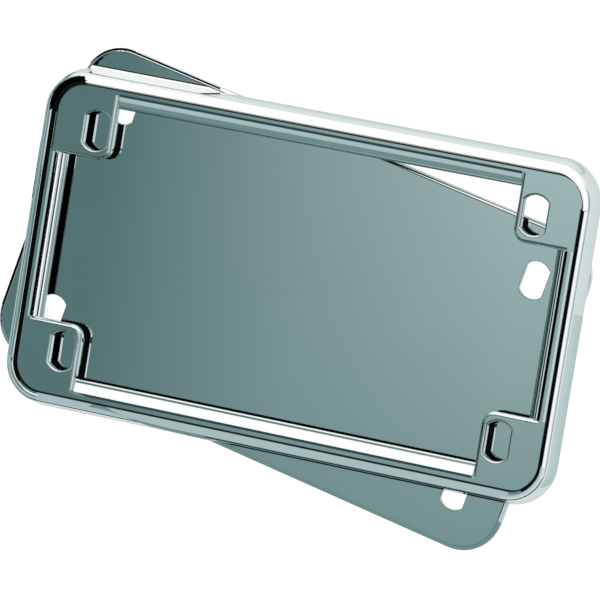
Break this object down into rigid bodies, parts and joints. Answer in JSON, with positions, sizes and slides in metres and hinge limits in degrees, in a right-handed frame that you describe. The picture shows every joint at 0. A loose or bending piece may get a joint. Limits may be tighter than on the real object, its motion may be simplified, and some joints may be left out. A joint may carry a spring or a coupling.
{
  "type": "number plate holder",
  "caption": "Chromed holder for a motorcycle number plate: a rounded frame with a raised rim and slotted corner tabs, lying on its loose, flat, slotted backing plate.",
  "frame": {"origin": "centre of the front frame seen from the front, on the plane of the backing plate's back face", "axes": "+X along the frame's long side, +Y along its short side towards its top, +Z out of its front"},
  "size_m": [0.1908, 0.1326, 0.0085],
  "materials": {
    "frame_chrome": "bright chrome plating over a smooth casting",
    "plate_chrome": "bright chrome plating over flat sheet"
  },
  "bodies": {
    "root": {"front_frame": "frame_chrome", "backing_plate": "plate_chrome"}
  },
  "joints": []
}
